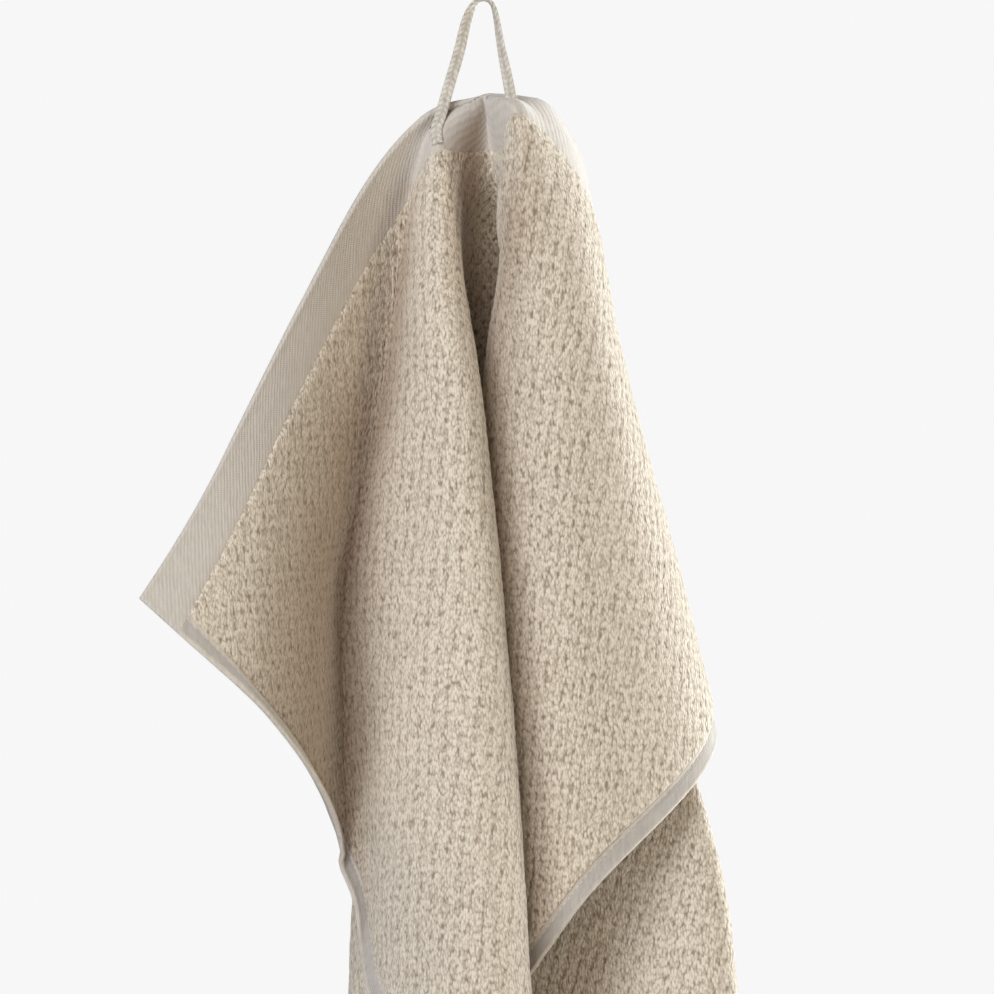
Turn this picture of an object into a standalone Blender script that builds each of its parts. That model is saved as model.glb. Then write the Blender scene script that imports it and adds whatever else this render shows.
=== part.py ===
"""Hand towel hung by the tape loop at the middle of its heading.

The cloth is one sheet with a flat-woven band at both short ends and narrow side hems. It hangs from the
middle of its heading, so every fold starts there and runs outwards through the cloth. Its shape is worked
out from rings round that middle: each fold says where it crosses each ring, a smooth curve joins the folds
of one ring, and a second one joins the rings. The threads keep their length, which sets how far down each
point hangs. Lengths in the tables are in millimetres; +Z is up and the viewer stands at -Y.
"""
import bmesh
import bpy
import numpy as np
from mathutils import Vector

MM = 0.001
PART = "hand_towel_with_loop"

# cloth
WIDTH = 500.0
LENGTH = 700.0
PILE_THICK = 3.6
FLAT_THICK = 1.8
BAND_DEPTH = 21.0
HEM_WIDTH = 8.0
PILE_STEP = 1.6
HEADING_MIDDLE = (0.4, 10.0, -34.2)

# tape loop
TAPE_WIDTH = 4.3
TAPE_THICK = 1.2
TAPE_CORNER = 0.35
TAPE_STEPS = 60

# mesh density
HALF_COLUMNS = 20
COLUMN_CROWDING = 1.2
PILE_ROWS = 46
ROW_CROWDING = 1.25
ANGLE_STEPS = 720
RING_STEP = 2.0
RING_REACH = 760.0
STEEPEST = 0.02

# distance of each ring from the heading's middle, measured in the cloth
RINGS = (26.0, 55.0, 110.0, 206.0, 324.0, 700.0)

# fold: (angle from the left heading edge, right, back) where it crosses each ring, seen from the middle
FOLDS = (
    # name
    # collar, neck, upper, middle, lower, foot
    ("left heading edge",
     (0, -24, -2.5), (0, -42, -10), (0, -66, -34), (0, -105.5, -72.5), (0, -164, -117), (0, -323, -263)),
    ("wing face",
     (25, -21, 0), (14, -37, -2), (14, -54, -18), (14, -78, -52), (14, -98.5, -90), (14, -184, -236)),
    ("wing foot",
     None, None, None, (22, -64.5, -26), (22, -68, -36), None),
    ("wing hollow",
     None, (28, -28, 4), (29, -35.5, 2), (28, -58.5, -7), (28, -56, 3), (28, -90, -103)),
    ("left valley",
     None, None, None, (33, -53, 3), (34, -46, 3), None),
    ("ridge foot",
     None, (38, -24, -6), (36.5, -29.5, -12), (38, -43, -6), (39, -41.5, -2), (40, -66, -30)),
    ("ridge flank",
     (48, -17, -6), (47, -19, -14), (44, -20, -25), (44, -29, -21), (44, -35, -18), None),
    ("ridge crest",
     None, None, (50, -10, -28), (48, -16, -33), (48, -19, -36), (48, -10, -85)),
    ("ridge front",
     None, None, None, (52, 0, -35), (52, 4, -44), None),
    ("ridge edge",
     None, (56, -12, -12), (56, -4, -18), (56, 6, -21), (56, 15, -24), (56, 35, -65)),
    ("ridge return",
     None, None, (61, -8, -8), (62, -10, -7), (62, -12, -10), (62, 5, -50)),
    ("recess wall",
     (70, -7, 0), (70, -10, 4), (66, -12, 2), (69, -28, 11), (69, -43, 12), (69, -22, -35)),
    ("left side",
     None, None, (76, -17, 19), (72, -31, 23), (72, -49, 30), (74, -68, 4)),
    ("left back",
     None, None, None, (78, -22, 41), (78, -28, 55), (80, -44, 70)),
    ("recess left",
     None, None, (86, -5, 33), (84, -3, 49), (84, 4, 64), (86, 22, 91)),
    ("recess middle",
     (90, 0.5, 6), (90, 2, 20), None, (90, 15, 51), (90, 37, 62), (92, 89, 70)),
    ("right back",
     None, None, (96, 13, 36), (96, 35, 45), (96, 68, 49), None),
    ("right side",
     None, None, None, (101, 50, 33), (101, 83.5, 32), (98, 138, 11)),
    ("back layer edge",
     (108, 6, 0), (108, 13, 10), (106, 26, 28), (105, 57, 25), (105, 89.5, 12), (104, 121, -50)),
    ("back layer turn",
     None, None, None, (110, 53, 18), (110, 72, 8), (111, 36, -66)),
    ("under layer",
     (118, 8, -13), None, (116, 26, 13), (116, 37, 15), (116, 42, 15), (116, -10, -50)),
    ("under valley",
     None, (122, 6, -10), (124, 15, 7), (122, 17, 19), (122, 10, 24), (122, -40, -20)),
    ("under fold",
     None, None, None, (127, 2, 19), (127, -12, 26), None),
    ("panel root",
     (130, 11.5, -21), (131, 10, -20), (131, 2.5, 0), (131, -9, 11), (131, -23, 15), (131, -40, 0)),
    ("panel rise",
     None, None, (138, 10, -14), (136, -1, -3), (136, -5, 2), None),
    ("panel front",
     None, None, None, (140, 12, -13), (140, 12, -8), (140, 24, 0)),
    ("panel crest",
     (150, 20, -13), (145, 22, -20), (146, 24, -20), (150, 39, -17), (150, 46, -14), (150, 85, -5)),
    ("panel shoulder",
     None, (156, 32, -11), (154, 40, -15), None, None, None),
    ("right shoulder",
     (165, 24.5, -3), (166, 36.5, 1), (162, 47, -2), (164, 72, 15), (164, 99.5, 38), (164, 174, 106)),
    ("right wing",
     None, None, (171, 47.5, 15), (172, 68, 45), (172, 90, 86), (172, 153, 209)),
    ("right heading edge",
     (180, 25.5, 5), (180, 37, 15), (180, 42, 34), (180, 55, 75), (180, 68, 130), (180, 107, 299)),
)

# share by which the hanging cloth gives along each direction; it gives most on the bias
GIVE = ((0, 0.0), (45, 0.03), (90, 0.0), (120, 0.05), (150, 0.07), (165, 0.035), (180, 0.0))

# tape from its left sewn end to its right one: right, back, up, turn of its face in degrees
LOOP_ROUTE = (
    # stretch         right  back   up     turn
    ("left sewn end", -17.2, 2.9, -52.8, -18),
    ("left on band", -17.6, 4.1, -49.8, -20),
    ("left on band", -17.4, 4.7, -46.5, -8),
    ("left at edge", -16.2, 5.4, -42.6, -4),
    ("left leg", -14.3, 5.0, -36.0, 0),
    ("left leg", -12.3, 4.2, -29.2, 0),
    ("left leg", -8.6, 2.6, -16.3, 10),
    ("left turn", -5.2, 1.0, -3.8, 45),
    ("top", -3.1, 0.4, -0.5, 68),
    ("top", -0.2, 0.0, 0.7, 80),
    ("top", 2.5, -0.4, -0.5, 76),
    ("right turn", 4.0, -0.8, -3.8, 68),
    ("right leg", 5.9, -2.0, -14.4, 52),
    ("right leg", 8.8, -3.6, -29.2, 22),
    ("right at edge", 10.2, -4.6, -36.4, 8),
    ("right on band", 11.0, -6.1, -40.2, 0),
    ("right on band", 11.5, -9.2, -43.0, 0),
    ("right sewn end", 11.8, -11.8, -45.8, 0),
)

COLOURS = {
    "hand_towel": (0.62, 0.55, 0.45, 1.0),
    "hanging_loop": (0.50, 0.48, 0.45, 1.0),
}


def natural_spline(knots, values, wanted):
    """Return a natural cubic curve through (knots, values) at the wanted places."""
    knots = np.asarray(knots, float)
    values = np.asarray(values, float)
    gap = np.diff(knots)
    rise = np.diff(values, axis=0) / gap[:, None]
    count = len(knots)
    matrix = np.eye(count)
    right = np.zeros_like(values)
    for i in range(1, count - 1):
        matrix[i, i - 1:i + 2] = gap[i - 1], 2 * (gap[i - 1] + gap[i]), gap[i]
        right[i] = 6 * (rise[i] - rise[i - 1])
    bend = np.linalg.solve(matrix, right)
    i = np.clip(np.searchsorted(knots, wanted) - 1, 0, count - 2)
    h = gap[i][:, None]
    a = (knots[i + 1] - wanted)[:, None] / h
    b = 1 - a
    straight = a * values[i] + b * values[i + 1]
    return straight + ((a ** 3 - a) * bend[i] + (b ** 3 - b) * bend[i + 1]) * h ** 2 / 6


def steady_curve(knots, values, wanted):
    """Return a cubic curve through (knots, values) that never swings past a knot."""
    knots = np.asarray(knots, float)
    gap = np.diff(knots)
    rise = np.diff(values, axis=0) / gap[:, None]
    slope = np.zeros_like(values)
    slope[0] = rise[0]
    slope[-1] = rise[-1]
    for i in range(1, len(knots) - 1):
        before = 2 * gap[i] + gap[i - 1]
        after = gap[i] + 2 * gap[i - 1]
        same = rise[i - 1] * rise[i] > 0
        safe_before = np.where(same, rise[i - 1], 1.0)
        safe_after = np.where(same, rise[i], 1.0)
        slope[i] = np.where(same, (before + after) / (before / safe_before + after / safe_after), 0.0)
    i = np.clip(np.searchsorted(knots, wanted) - 1, 0, len(knots) - 2)
    h = gap[i][:, None]
    t = (wanted - knots[i])[:, None] / h
    start = (2 * t ** 3 - 3 * t ** 2 + 1) * values[i] + (t ** 3 - 2 * t ** 2 + t) * h * slope[i]
    end = (3 * t ** 2 - 2 * t ** 3) * values[i + 1] + (t ** 3 - t ** 2) * h * slope[i + 1]
    return start + end


def drape_field():
    """Return the hung position of every (ring, angle) sample, from the heading's middle."""
    angles = np.linspace(0.0, 180.0, ANGLE_STEPS + 1)
    radii = np.arange(0.0, RING_REACH + RING_STEP, RING_STEP)
    sections = [np.zeros((len(angles), 2))]
    for ring in range(len(RINGS)):
        crossings = np.array([row[ring + 1] for row in FOLDS if row[ring + 1]], float)
        sections.append(natural_spline(crossings[:, 0], crossings[:, 1:], angles))
    sections = np.array(sections).reshape(len(RINGS) + 1, -1)
    flat = steady_curve((0.0,) + RINGS, sections, radii).reshape(len(radii), len(angles), 2)
    slope = np.diff(flat, axis=0) / RING_STEP
    give = np.array(GIVE)
    reach = 1.0 + natural_spline(give[:, 0], give[:, 1:], angles)[:, 0]
    fall = np.sqrt(np.clip(reach ** 2 - (slope ** 2).sum(axis=2), STEEPEST, None))
    height = np.zeros((len(radii), len(angles), 1))
    height[1:, :, 0] = -np.cumsum(fall, axis=0) * RING_STEP
    return np.concatenate([flat, height], axis=2)


def hung(across, down, field):
    """Return where the cloth point (across, down) hangs, in millimetres from the loop's top."""
    offset = across - WIDTH / 2
    ring = np.clip(np.hypot(offset, down) / RING_STEP, 0, field.shape[0] - 1.001)
    angle = np.degrees(np.arctan2(down, -offset))
    turn = np.clip(angle / 180.0 * ANGLE_STEPS, 0, ANGLE_STEPS - 0.001)
    i = ring.astype(int)
    j = turn.astype(int)
    a = (ring - i)[..., None]
    b = (turn - j)[..., None]
    near = field[i, j] * (1 - b) + field[i, j + 1] * b
    far = field[i + 1, j] * (1 - b) + field[i + 1, j + 1] * b
    return near * (1 - a) + far * a + np.array(HEADING_MIDDLE)


def column_lines():
    """Return the grid lines across the cloth: hem edges, then lines that crowd towards the middle."""
    half = WIDTH / 2 - HEM_WIDTH - PILE_STEP
    place = np.linspace(-1.0, 1.0, 2 * HALF_COLUMNS + 1)
    inner = WIDTH / 2 + half * np.sign(place) * np.abs(place) ** COLUMN_CROWDING
    return np.concatenate([[0.0, HEM_WIDTH], inner, [WIDTH - HEM_WIDTH, WIDTH]])


def row_lines():
    """Return the grid lines down the cloth: both bands, and pile rows that crowd towards the heading."""
    top = BAND_DEPTH + PILE_STEP
    place = np.linspace(0.0, 1.0, PILE_ROWS + 1) ** ROW_CROWDING
    inner = top + (LENGTH - 2 * top) * place
    band = np.array([0.0, BAND_DEPTH / 2, BAND_DEPTH])
    return np.concatenate([band, inner, LENGTH - band[::-1]])


def make_material(name):
    """Return a cloth material in the photographed colour."""
    material = bpy.data.materials.new(name)
    material.use_nodes = True
    shader = material.node_tree.nodes["Principled BSDF"]
    shader.inputs["Base Color"].default_value = COLOURS[name]
    shader.inputs["Roughness"].default_value = 0.95
    shader.inputs["Metallic"].default_value = 0.0
    material.diffuse_color = COLOURS[name]
    return material


def add_object(name, points, faces, collection):
    """Add a mesh object in its own material; points are in millimetres."""
    mesh = bpy.data.meshes.new(name)
    mesh.from_pydata([Vector(point) * MM for point in points], [], faces)
    mesh.materials.append(make_material(name))
    shape = bpy.data.objects.new(name, mesh)
    collection.objects.link(shape)
    return shape


def build_towel(field, collection):
    """Lay the cloth's middle surface along its folds and give it the thickness of pile and flat weave.

    Each cell is split along the diagonal nearest to the folds, which all run out from the heading's middle.
    """
    columns = column_lines()
    rows = row_lines()
    across, down = np.meshgrid(columns, rows)
    points = hung(across, down, field).reshape(-1, 3)
    wide = len(columns)
    faces = []
    for row in range(len(rows) - 1):
        for column in range(wide - 1):
            corner = row * wide + column
            below = corner + wide
            if columns[column] < WIDTH / 2:
                faces += [(corner, below, corner + 1), (below, below + 1, corner + 1)]
            else:
                faces += [(corner, below, below + 1), (corner, below + 1, corner + 1)]
    towel = add_object("hand_towel", points, faces, collection)
    pile = towel.vertex_groups.new(name="pile")
    off_sides = (across > HEM_WIDTH) & (across < WIDTH - HEM_WIDTH)
    off_bands = (down > BAND_DEPTH) & (down < LENGTH - BAND_DEPTH)
    pile.add([int(i) for i in np.flatnonzero((off_sides & off_bands).ravel())], 1.0, "REPLACE")
    body = towel.modifiers.new("thickness", "SOLIDIFY")
    body.thickness = PILE_THICK * MM
    body.offset = 0.0
    body.vertex_group = "pile"
    body.thickness_vertex_group = FLAT_THICK / PILE_THICK
    body.use_rim = True
    return towel


def tape_route():
    """Return the tape's centre line and width directions, from the left sewn end to the right one."""
    centres = np.array([row[1:4] for row in LOOP_ROUTE])
    turns = np.radians([row[4] for row in LOOP_ROUTE])
    tangents = np.gradient(centres, axis=0)
    inward = np.stack([tangents[:, 2], np.zeros(len(tangents)), -tangents[:, 0]], axis=1)
    inward = inward / np.linalg.norm(inward, axis=1)[:, None]
    back = np.array([0.0, 1.0, 0.0])
    widths = inward * np.cos(turns)[:, None] + back * np.sin(turns)[:, None]
    return centres, widths


def tape_section():
    """Return the tape's cross-section as (along width, along thickness), with cut corners."""
    half = TAPE_WIDTH / 2
    thin = TAPE_THICK / 2
    cut = TAPE_CORNER
    quarter = [(half, thin - cut), (half - cut, thin)]
    mirrored = [(-x, y) for x, y in reversed(quarter)]
    upper = quarter + mirrored
    return upper + [(-x, -y) for x, y in upper]


def build_loop(collection):
    """Sweep the tape's cross-section from its left sewn end, over the top, to its right sewn end."""
    centres, widths = tape_route()
    travelled = np.concatenate([[0.0], np.cumsum(np.linalg.norm(np.diff(centres, axis=0), axis=1))])
    steps = np.linspace(0.0, travelled[-1], TAPE_STEPS + 1)
    line = natural_spline(travelled, centres, steps)
    side = natural_spline(travelled, widths, steps)
    tangent = np.gradient(line, axis=0)
    tangent = tangent / np.linalg.norm(tangent, axis=1)[:, None]
    side = side - tangent * (side * tangent).sum(axis=1)[:, None]
    side = side / np.linalg.norm(side, axis=1)[:, None]
    face = np.cross(tangent, side)
    section = tape_section()
    points = []
    for centre, across, out in zip(line, side, face):
        points.extend(centre + across * x + out * y for x, y in section)
    around = len(section)
    faces = [tuple(reversed(range(around))), tuple(range(len(points) - around, len(points)))]
    for step in range(TAPE_STEPS):
        for k in range(around):
            low = step * around
            after = (k + 1) % around
            faces.append((low + k, low + after, low + around + after, low + around + k))
    loop = add_object("hanging_loop", points, faces, collection)
    shell = bmesh.new()
    shell.from_mesh(loop.data)
    bmesh.ops.recalc_face_normals(shell, faces=shell.faces[:])
    shell.to_mesh(loop.data)
    shell.free()
    return loop


def main():
    """Clear the scene and build the towel and its loop."""
    for old in list(bpy.data.objects):
        bpy.data.objects.remove(old)
    collection = bpy.data.collections.new(PART)
    bpy.context.scene.collection.children.link(collection)
    field = drape_field()
    build_towel(field, collection)
    build_loop(collection)


main()
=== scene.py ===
"""Looks of a hand towel that hangs by its tape loop.

The cloth follows the same folds as its solid. A thin woven ground runs over the whole cut and shows in the
bands and the side hems; the looped pile stands on both of its faces, in small staggered grains. Lengths in
the tables are in millimetres, +Z is up and the viewer stands at -Y.
"""

import logging
import math
from dataclasses import dataclass
from enum import Enum
from typing import Callable, Optional, Sequence, Union

import bpy
import numpy as np
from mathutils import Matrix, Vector


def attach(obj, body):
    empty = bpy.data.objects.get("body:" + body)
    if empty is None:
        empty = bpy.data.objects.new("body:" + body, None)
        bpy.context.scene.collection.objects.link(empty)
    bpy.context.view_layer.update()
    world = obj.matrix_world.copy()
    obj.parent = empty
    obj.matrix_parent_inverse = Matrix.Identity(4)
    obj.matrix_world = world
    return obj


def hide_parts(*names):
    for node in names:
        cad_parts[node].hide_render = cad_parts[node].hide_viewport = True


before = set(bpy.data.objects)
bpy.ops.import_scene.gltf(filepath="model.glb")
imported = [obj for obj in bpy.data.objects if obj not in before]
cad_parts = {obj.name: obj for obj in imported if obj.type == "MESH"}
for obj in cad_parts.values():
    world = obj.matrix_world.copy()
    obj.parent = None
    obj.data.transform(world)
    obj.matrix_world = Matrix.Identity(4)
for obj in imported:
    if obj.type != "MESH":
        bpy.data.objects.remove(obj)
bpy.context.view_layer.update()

LOG = logging.getLogger("hand_towel")
MM = 0.001
BODY = "root"
Colour = tuple[float, float, float]
FIBRES_A_METRE = 2600.0
WHITE: Colour = (1.0, 1.0, 1.0)
# painted shade in the folds' hollows: what is left of the colour where a hollow's painted shade takes all
# that it can
FOLD_SHADE: Colour = (0.40, 0.28, 0.19)

# distance of each ring from the heading's middle, measured in the cloth
RINGS = (26.0, 55.0, 110.0, 206.0, 324.0, 700.0)

# fold: (angle from the left heading edge, right, back) where it crosses each ring, seen from the middle
FOLDS = (
    # name
    # collar, neck, upper, middle, lower, foot
    ("left heading edge",
     (0, -24, -2.5), (0, -42, -10), (0, -66, -34), (0, -105.5, -72.5), (0, -164, -117), (0, -323, -263)),
    ("wing face",
     (25, -21, 0), (14, -37, -2), (14, -54, -18), (14, -78, -52), (14, -98.5, -90), (14, -184, -236)),
    ("wing foot",
     None, None, None, (22, -64.5, -26), (22, -68, -36), None),
    ("wing hollow",
     None, (28, -28, 4), (29, -35.5, 2), (28, -58.5, -7), (28, -56, 3), (28, -90, -103)),
    ("left valley",
     None, None, None, (33, -53, 3), (34, -46, 3), None),
    ("ridge foot",
     None, (38, -24, -6), (36.5, -29.5, -12), (38, -43, -6), (39, -41.5, -2), (40, -66, -30)),
    ("ridge flank",
     (48, -17, -6), (47, -19, -14), (44, -20, -25), (44, -29, -21), (44, -35, -18), None),
    ("ridge crest",
     None, None, (50, -10, -28), (48, -16, -33), (48, -19, -36), (48, -10, -85)),
    ("ridge front",
     None, None, None, (52, 0, -35), (52, 4, -44), None),
    ("ridge edge",
     None, (56, -12, -12), (56, -4, -18), (56, 6, -21), (56, 15, -24), (56, 35, -65)),
    ("ridge return",
     None, None, (61, -8, -8), (62, -10, -7), (62, -12, -10), (62, 5, -50)),
    ("recess wall",
     (70, -7, 0), (70, -10, 4), (66, -12, 2), (69, -28, 11), (69, -43, 12), (69, -22, -35)),
    ("left side",
     None, None, (76, -17, 19), (72, -31, 23), (72, -49, 30), (74, -68, 4)),
    ("left back",
     None, None, None, (78, -22, 41), (78, -28, 55), (80, -44, 70)),
    ("recess left",
     None, None, (86, -5, 33), (84, -3, 49), (84, 4, 64), (86, 22, 91)),
    ("recess middle",
     (90, 0.5, 6), (90, 2, 20), None, (90, 15, 51), (90, 37, 62), (92, 89, 70)),
    ("right back",
     None, None, (96, 13, 36), (96, 35, 45), (96, 68, 49), None),
    ("right side",
     None, None, None, (101, 50, 33), (101, 83.5, 32), (98, 138, 11)),
    ("back layer edge",
     (108, 6, 0), (108, 13, 10), (106, 26, 28), (105, 57, 25), (105, 89.5, 12), (104, 121, -50)),
    ("back layer turn",
     None, None, None, (110, 53, 18), (110, 72, 8), (111, 36, -66)),
    ("under layer",
     (118, 8, -13), None, (116, 26, 13), (116, 37, 15), (116, 42, 15), (116, -10, -50)),
    ("under valley",
     None, (122, 6, -10), (124, 15, 7), (122, 17, 19), (122, 10, 24), (122, -40, -20)),
    ("under fold",
     None, None, None, (127, 2, 19), (127, -12, 26), None),
    ("panel root",
     (130, 11.5, -21), (131, 10, -20), (131, 2.5, 0), (131, -9, 11), (131, -23, 15), (131, -40, 0)),
    ("panel rise",
     None, None, (138, 10, -14), (136, -1, -3), (136, -5, 2), None),
    ("panel front",
     None, None, None, (140, 12, -13), (140, 12, -8), (140, 24, 0)),
    ("panel crest",
     (150, 20, -13), (145, 22, -20), (146, 24, -20), (150, 39, -17), (150, 46, -14), (150, 85, -5)),
    ("panel shoulder",
     None, (156, 32, -11), (154, 40, -15), None, None, None),
    ("right shoulder",
     (165, 24.5, -3), (166, 36.5, 1), (162, 47, -2), (164, 72, 15), (164, 99.5, 38), (164, 174, 106)),
    ("right wing",
     None, None, (171, 47.5, 15), (172, 68, 45), (172, 90, 86), (172, 153, 209)),
    ("right heading edge",
     (180, 25.5, 5), (180, 37, 15), (180, 42, 34), (180, 55, 75), (180, 68, 130), (180, 107, 299)),
)

# share by which the hanging cloth gives along each direction; it gives most on the bias
GIVE = ((0, 0.0), (45, 0.03), (90, 0.0), (120, 0.05), (150, 0.07), (165, 0.035), (180, 0.0))

# painted shade in a fold's hollow: direction, half its spread in degrees, first and last ring distance, share
# of the light that its painted shade takes from the colour
PAINTED_SHADE_ZONES = (
    ("heading fold", 70, 15, 0, 60, 0.95),
    ("left valley", 32, 7, 50, 310, 0.66),
    ("wing low", 23, 9.5, 120, 320, 0.56),
    ("panel root", 133, 8, 40, 420, 0.50),
)

# tape from its left sewn end to its right one: right, back, up, turn of its face in degrees
LOOP_ROUTE = (
    # stretch         right  back   up     turn
    ("left sewn end", -17.2, 2.9, -52.8, -18),
    ("left on band", -17.6, 4.1, -49.8, -20),
    ("left on band", -17.4, 4.7, -46.5, -8),
    ("left at edge", -16.2, 5.4, -42.6, -4),
    ("left leg", -14.3, 5.0, -36.0, 0),
    ("left leg", -12.3, 4.2, -29.2, 0),
    ("left leg", -8.6, 2.6, -16.3, 10),
    ("left turn", -5.2, 1.0, -3.8, 45),
    ("top", -3.1, 0.4, -0.5, 68),
    ("top", -0.2, 0.0, 0.7, 80),
    ("top", 2.5, -0.4, -0.5, 76),
    ("right turn", 4.0, -0.8, -3.8, 68),
    ("right leg", 5.9, -2.0, -14.4, 52),
    ("right leg", 8.8, -3.6, -29.2, 22),
    ("right at edge", 10.2, -4.6, -36.4, 8),
    ("right on band", 11.0, -6.1, -40.2, 0),
    ("right on band", 11.5, -9.2, -43.0, 0),
    ("right sewn end", 11.8, -11.8, -45.8, 0),
)

# grid lines over a side hem and over a band from its edge inwards, and over the pile's rise beside them
HEM_LINES = (0.0, 0.25, 0.6, 1.1, 1.7, 2.4, 3.4, 4.6, 5.6, 6.3, 6.8, 7.3, 8.0)
BAND_LINES = (0.0, 0.25, 0.6, 1.1, 1.8, 3, 5, 7, 9, 11, 13, 15, 17, 18.6, 19.4, 20.0, 20.5, 21.0)
RISE_LINES = (0.0, 0.35, 0.9)

# light: direction from the camera's to the right and height in degrees, side in metres, watts, colour
LIGHTS = (
    ("rim_right", 125.0, 5.0, 1.5, 107.0, (0.92, 0.97, 1.0)),
    ("key_high", -29.0, 40.0, 1.1, 33.0, (0.96, 0.98, 1.0)),
    ("low_left", -40.0, -12.0, 0.8, 13.5, (0.90, 0.96, 1.0)),
    ("side_right", 55.0, 12.0, 1.0, 15.0, (1.0, 0.90, 0.72)),
    ("glow_front", -8.0, 3.0, 0.8, 2.7, (1.0, 0.58, 0.30)),
)


class Face(Enum):
    """The two faces of the cloth, by the side their normals point to."""

    FRONT = 1
    BACK = -1


def natural_spline(knots: Sequence[float], values: np.ndarray, wanted: np.ndarray) -> np.ndarray:
    """Draw a natural cubic curve through points.

    Args:
        knots: places of the points along the curve.
        values: one row per point.
        wanted: places at which the curve is read.

    Returns:
        One row per wanted place.
    """
    knots = np.asarray(knots, float)
    values = np.asarray(values, float)
    gap = np.diff(knots)
    rise = np.diff(values, axis=0) / gap[:, None]
    count = len(knots)
    matrix = np.eye(count)
    right = np.zeros_like(values)
    for i in range(1, count - 1):
        matrix[i, i - 1:i + 2] = gap[i - 1], 2 * (gap[i - 1] + gap[i]), gap[i]
        right[i] = 6 * (rise[i] - rise[i - 1])
    bend = np.linalg.solve(matrix, right)
    i = np.clip(np.searchsorted(knots, wanted) - 1, 0, count - 2)
    h = gap[i][:, None]
    a = (knots[i + 1] - wanted)[:, None] / h
    b = 1 - a
    straight = a * values[i] + b * values[i + 1]
    return straight + ((a ** 3 - a) * bend[i] + (b ** 3 - b) * bend[i + 1]) * h ** 2 / 6


def steady_curve(knots: Sequence[float], values: np.ndarray, wanted: np.ndarray) -> np.ndarray:
    """Draw a cubic curve through points that never swings past one of them.

    Args:
        knots: places of the points along the curve.
        values: one row per point.
        wanted: places at which the curve is read.

    Returns:
        One row per wanted place.
    """
    knots = np.asarray(knots, float)
    gap = np.diff(knots)
    rise = np.diff(values, axis=0) / gap[:, None]
    slope = np.zeros_like(values)
    slope[0] = rise[0]
    slope[-1] = rise[-1]
    for i in range(1, len(knots) - 1):
        before = 2 * gap[i] + gap[i - 1]
        after = gap[i] + 2 * gap[i - 1]
        same = rise[i - 1] * rise[i] > 0
        safe_before = np.where(same, rise[i - 1], 1.0)
        safe_after = np.where(same, rise[i], 1.0)
        slope[i] = np.where(same, (before + after) / (before / safe_before + after / safe_after), 0.0)
    i = np.clip(np.searchsorted(knots, wanted) - 1, 0, len(knots) - 2)
    h = gap[i][:, None]
    t = (wanted - knots[i])[:, None] / h
    start = (2 * t ** 3 - 3 * t ** 2 + 1) * values[i] + (t ** 3 - 2 * t ** 2 + t) * h * slope[i]
    end = (3 * t ** 2 - 2 * t ** 3) * values[i + 1] + (t ** 3 - t ** 2) * h * slope[i + 1]
    return start + end


def unit(vectors: np.ndarray) -> np.ndarray:
    """Return the vectors at length one."""
    return vectors / np.maximum(np.linalg.norm(vectors, axis=-1, keepdims=True), 1e-12)


def smooth_step(value: np.ndarray, low: float, high: float) -> np.ndarray:
    """Return a soft step from 0 at low to 1 at high."""
    t = np.clip((value - low) / (high - low), 0.0, 1.0)
    return t * t * (3 - 2 * t)


@dataclass(frozen=True)
class SoftNoise:
    """Smooth seeded noise over the cut, for the unevenness of hand and loom.

    Attributes:
        seed: seed of its random table.
        grain: distance between its bumps, in millimetres.
    """

    seed: int
    grain: float

    def read(self, across: np.ndarray, down: np.ndarray) -> np.ndarray:
        """Read the noise.

        Args:
            across: places across the cut, in millimetres.
            down: places down the cut, in millimetres.

        Returns:
            Values from about -1 to 1.
        """
        table = np.random.default_rng(self.seed).uniform(-1.0, 1.0, (257, 257))
        x = np.asarray(across, float) / self.grain + 8.0
        y = np.asarray(down, float) / self.grain + 8.0
        i = np.floor(x).astype(int)
        j = np.floor(y).astype(int)
        a = smooth_step(x - i, 0.0, 1.0)
        b = smooth_step(y - j, 0.0, 1.0)
        i, j = i % 256, j % 256
        near = table[i, j] * (1 - a) + table[i + 1, j] * a
        far = table[i, j + 1] * (1 - a) + table[i + 1, j + 1] * a
        return near * (1 - b) + far * b


@dataclass(frozen=True)
class ClothCut:
    """The cut and woven zones of the towel, in millimetres.

    Attributes:
        width: cut width, from side hem to side hem.
        length: cut length, from heading to foot.
        band: depth of the flat-woven band at both short ends.
        slant: how much shallower the heading's band is on its right half.
        hem: width of the side hems.
        pile_half: half thickness of the cloth where it has pile.
        flat_half: half thickness of the bands and hems.
        ground_half: half thickness of the ground under the pile.
    """

    width: float = 500.0
    length: float = 700.0
    band: float = 21.0
    slant: float = 6.5
    hem: float = 8.0
    pile_half: float = 1.8
    flat_half: float = 0.9
    ground_half: float = 0.6

    def side_gap(self, across: np.ndarray) -> np.ndarray:
        """Return how far each place is from the nearer side edge."""
        return np.minimum(across, self.width - across)

    def end_gap(self, across: np.ndarray, down: np.ndarray) -> np.ndarray:
        """Measure from the nearer short end, so that the pile starts at the band's depth everywhere.

        Args:
            across: places across the cut.
            down: places down the cut.

        Returns:
            Their distances, stretched where the heading's band is shallower.
        """
        shallow = self.slant * smooth_step(across, self.width / 2 + 2.0, self.width / 2 + 26.0)
        share = 1.0 - smooth_step(down, self.band, 2 * self.band)
        stretch = 1.0 + (self.band / (self.band - shallow) - 1.0) * share
        return np.minimum(down * stretch, self.length - down)


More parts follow.
